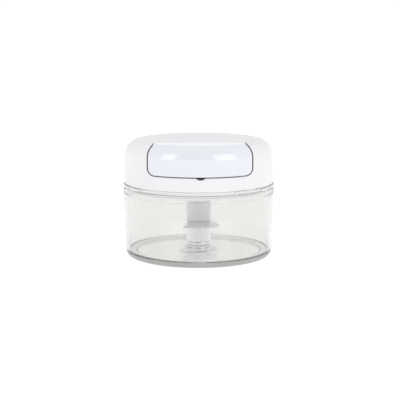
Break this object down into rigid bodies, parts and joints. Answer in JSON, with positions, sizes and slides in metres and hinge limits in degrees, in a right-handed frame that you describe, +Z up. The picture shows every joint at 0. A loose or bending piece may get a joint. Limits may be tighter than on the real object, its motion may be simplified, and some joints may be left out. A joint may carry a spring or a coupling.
{
  "type": "hand-pulled food processor",
  "caption": "Round manual food processor: clear bowl, white twist-on lid with a flush pull handle on a cord, and stacked sickle blades on a central hub.",
  "frame": {"origin": "centre of the underside of the non-slip ring", "axes": "+Z up through the blade axis, -Y towards the pull handle, +X to the right of a person who faces the handle"},
  "size_m": [0.1308, 0.1308, 0.1018],
  "materials": {
    "clear_bowl": "clear polished plastic",
    "foot_grey": "satin grey elastomer",
    "steel": "ground stainless steel",
    "blade_steel": "polished stainless steel",
    "seal_silicone": "milky silicone",
    "lid_white": "satin white plastic",
    "base_white": "satin white plastic",
    "handle_gloss": "glossy white plastic",
    "handle_inner": "satin white plastic",
    "hub_white": "glossy white plastic",
    "brass": "turned brass",
    "screw_steel": "zinc plated steel",
    "mechanism_plastic": "satin grey plastic",
    "acetal": "satin natural acetal",
    "spring_steel": "blued spring steel",
    "cord_nylon": "braided nylon"
  },
  "bodies": {
    "bowl": {"bowl": "clear_bowl", "bowl_pin": "steel", "non_slip_ring": "foot_grey"},
    "seal": {"seal_ring": "seal_silicone"},
    "lid": {"lid_housing": "lid_white", "lid_base": "base_white", "drive_bush": "brass", "lid_screws": "screw_steel", "mechanism_deck": "mechanism_plastic", "deck_screws": "screw_steel", "recoil_spring": "spring_steel", "cord_eyelet": "steel", "cord_lead": "cord_nylon"},
    "handle": {"handle_cover": "handle_gloss", "handle_back": "handle_inner", "handle_screws": "screw_steel", "cord_knot": "cord_nylon", "cord_stretch": "cord_nylon"},
    "reel": {"cord_reel": "mechanism_plastic", "cord_winding": "cord_nylon", "pawl_pins": "steel", "pawl_springs": "spring_steel"},
    "pawl_right": {"pawl_right": "acetal"},
    "pawl_left": {"pawl_left": "acetal"},
    "drive": {"drive_shaft": "steel", "ratchet_wheel": "acetal", "drive_dog": "acetal", "shaft_clip": "spring_steel"},
    "blades": {"hub_core": "hub_white", "hub_sleeve": "hub_white", "hub_spacer": "hub_white", "hub_cap": "hub_white", "hub_bush": "brass", "blade_top": "blade_steel", "blade_middle": "blade_steel", "blade_bottom": "blade_steel"}
  },
  "joints": [
    {"name": "lid_lift", "type": "slide", "parent": "bowl", "child": "seal", "axis": [0, 0, 1], "range_m": [0, 0.08]},
    {"name": "lid_twist", "type": "hinge", "parent": "seal", "child": "lid", "pos_m": [0, 0, 0.059], "axis": [0, 0, 1], "range_deg": [-25, 0]},
    {"name": "handle_pull", "type": "slide", "parent": "lid", "child": "handle", "axis": [0, -1, 0], "range_m": [0, 0.32], "stiffness_N_per_m": 12, "springref_m": -0.25, "deforming": ["cord_stretch"]},
    {"name": "reel_spin", "type": "hinge", "parent": "lid", "child": "reel", "pos_m": [0, 0, 0.08], "axis": [0, 0, 1], "range_deg": [0, 1065], "deforming": ["recoil_spring"]},
    {"name": "drive_spin", "type": "hinge", "parent": "lid", "child": "drive", "pos_m": [0, 0, 0.06], "axis": [0, 0, 1], "range_deg": [0, 1065]},
    {"name": "pawl_right_swing", "type": "hinge", "parent": "reel", "child": "pawl_right", "pos_m": [0.0165, 0, 0.0885], "axis": [0, 0, 1], "range_deg": [-12, 0], "stiffness_Nm_per_rad": 0.0008, "springref_deg": 28.65, "deforming": ["pawl_springs"]},
    {"name": "pawl_left_swing", "type": "hinge", "parent": "reel", "child": "pawl_left", "pos_m": [-0.0165, 0, 0.0885], "axis": [0, 0, 1], "range_deg": [-12, 0], "stiffness_Nm_per_rad": 0.0008, "springref_deg": 28.65, "deforming": ["pawl_springs"]},
    {"name": "blade_spin", "type": "hinge", "parent": "bowl", "child": "blades", "pos_m": [0, 0, 0.02], "axis": [0, 0, 1], "range_deg": [0, 1065]}
  ],
  "couplings": [
    {"joint": "reel_spin", "follows": "handle_pull", "rad_per_m": 57.803},
    {"joint": "drive_spin", "follows": "handle_pull", "rad_per_m": 57.803},
    {"joint": "blade_spin", "follows": "handle_pull", "rad_per_m": 57.803}
  ]
}
